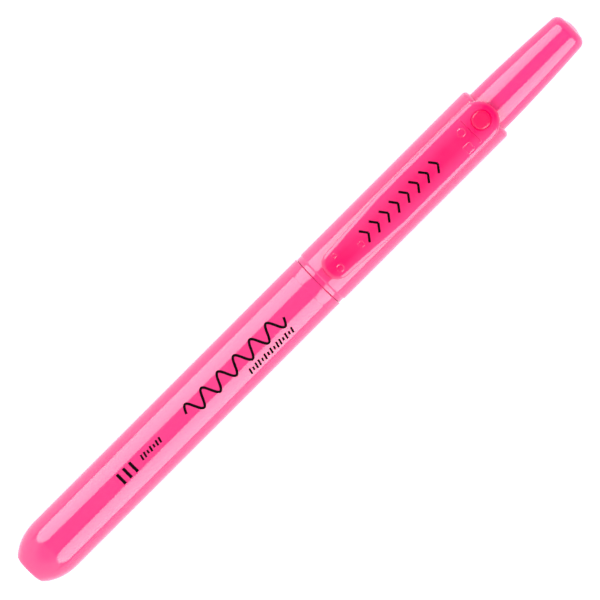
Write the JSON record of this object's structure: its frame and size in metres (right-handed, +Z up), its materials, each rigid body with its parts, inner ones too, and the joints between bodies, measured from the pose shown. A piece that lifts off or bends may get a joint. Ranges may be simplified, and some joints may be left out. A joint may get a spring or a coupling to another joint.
{
  "type": "retractable highlighter",
  "caption": "Slim click-action highlighter in clear pink plastic: rounded nose, long tapered knock button, broad flexing clip, doored nib chamber and rotary latch inside.",
  "frame": {"origin": "centre of the pen's footprint, on the surface it lies on", "axes": "+X along the pen from nose to knock button, +Y across it, +Z up, the clip on top"},
  "size_m": [0.144, 0.0116, 0.0145],
  "materials": {
    "clear_barrel": "clear fluorescent pink, glossy",
    "clear_clip": "clear deep pink, glossy",
    "clear_button": "clear pink, glossy",
    "inner_pink": "pink moulded plastic, satin",
    "natural_plastic": "natural white moulded plastic",
    "felt": "inked felt",
    "fibre": "ink-soaked fibre",
    "steel": "drawn steel wire",
    "black_rubber": "matt rubber",
    "pale_rubber": "soft pale elastomer"
  },
  "bodies": {
    "barrel": {"front_barrel": "clear_barrel", "rear_barrel": "clear_barrel", "clip_root": "clear_clip", "clip_stud": "clear_clip", "cam_sleeve": "inner_pink", "return_spring": "steel", "spring_seat": "steel", "seal_tube": "natural_plastic", "door_gasket": "pale_rubber", "door_pin_left": "steel", "door_pin_right": "steel"},
    "knock": {"knock_button": "clear_button", "thrust_tube": "inner_pink"},
    "refill": {"nib": "felt", "nib_holder": "natural_plastic", "holder_seal": "black_rubber", "ink_tube": "inner_pink", "ink_reservoir": "fibre", "tail_plug": "natural_plastic", "spring_collar": "natural_plastic"},
    "rotor": {"rotor": "natural_plastic"},
    "left_door": {"nose_door_left": "natural_plastic"},
    "right_door": {"nose_door_right": "natural_plastic"},
    "clip": {"clip_arm": "clear_clip"}
  },
  "joints": [
    {"name": "knock_slide", "type": "slide", "parent": "barrel", "child": "knock", "axis": [-1, 0, 0], "range_m": [0, 0.015], "stiffness_N_per_m": 250, "springref_m": -0.01},
    {"name": "refill_slide", "type": "slide", "parent": "barrel", "child": "refill", "axis": [-1, 0, 0], "range_m": [0, 0.015], "deforming": ["return_spring"]},
    {"name": "rotor_spin", "type": "hinge", "parent": "refill", "child": "rotor", "pos_m": [0.016, 0, 0.00582], "axis": [1, 0, 0], "range_deg": [0, 45]},
    {"name": "left_door_hinge", "type": "hinge", "parent": "barrel", "child": "left_door", "pos_m": [-0.066, 0.003, 0.00582], "axis": [0, 0, -1], "range_deg": [0, 94]},
    {"name": "right_door_hinge", "type": "hinge", "parent": "barrel", "child": "right_door", "pos_m": [-0.066, -0.003, 0.00582], "axis": [0, 0, 1], "range_deg": [0, 94]},
    {"name": "clip_flex", "type": "hinge", "parent": "barrel", "child": "clip", "pos_m": [0.04145, 0, 0.01362], "axis": [0, 1, 0], "range_deg": [0, 3], "stiffness_Nm_per_rad": 0.7}
  ],
  "couplings": [
    {"joint": "refill_slide", "follows": "knock_slide", "ratio": 1},
    {"joint": "rotor_spin", "follows": "knock_slide", "rad_per_m": 52.36},
    {"joint": "left_door_hinge", "follows": "knock_slide", "rad_per_m": 109.37},
    {"joint": "right_door_hinge", "follows": "knock_slide", "rad_per_m": 109.37}
  ]
}
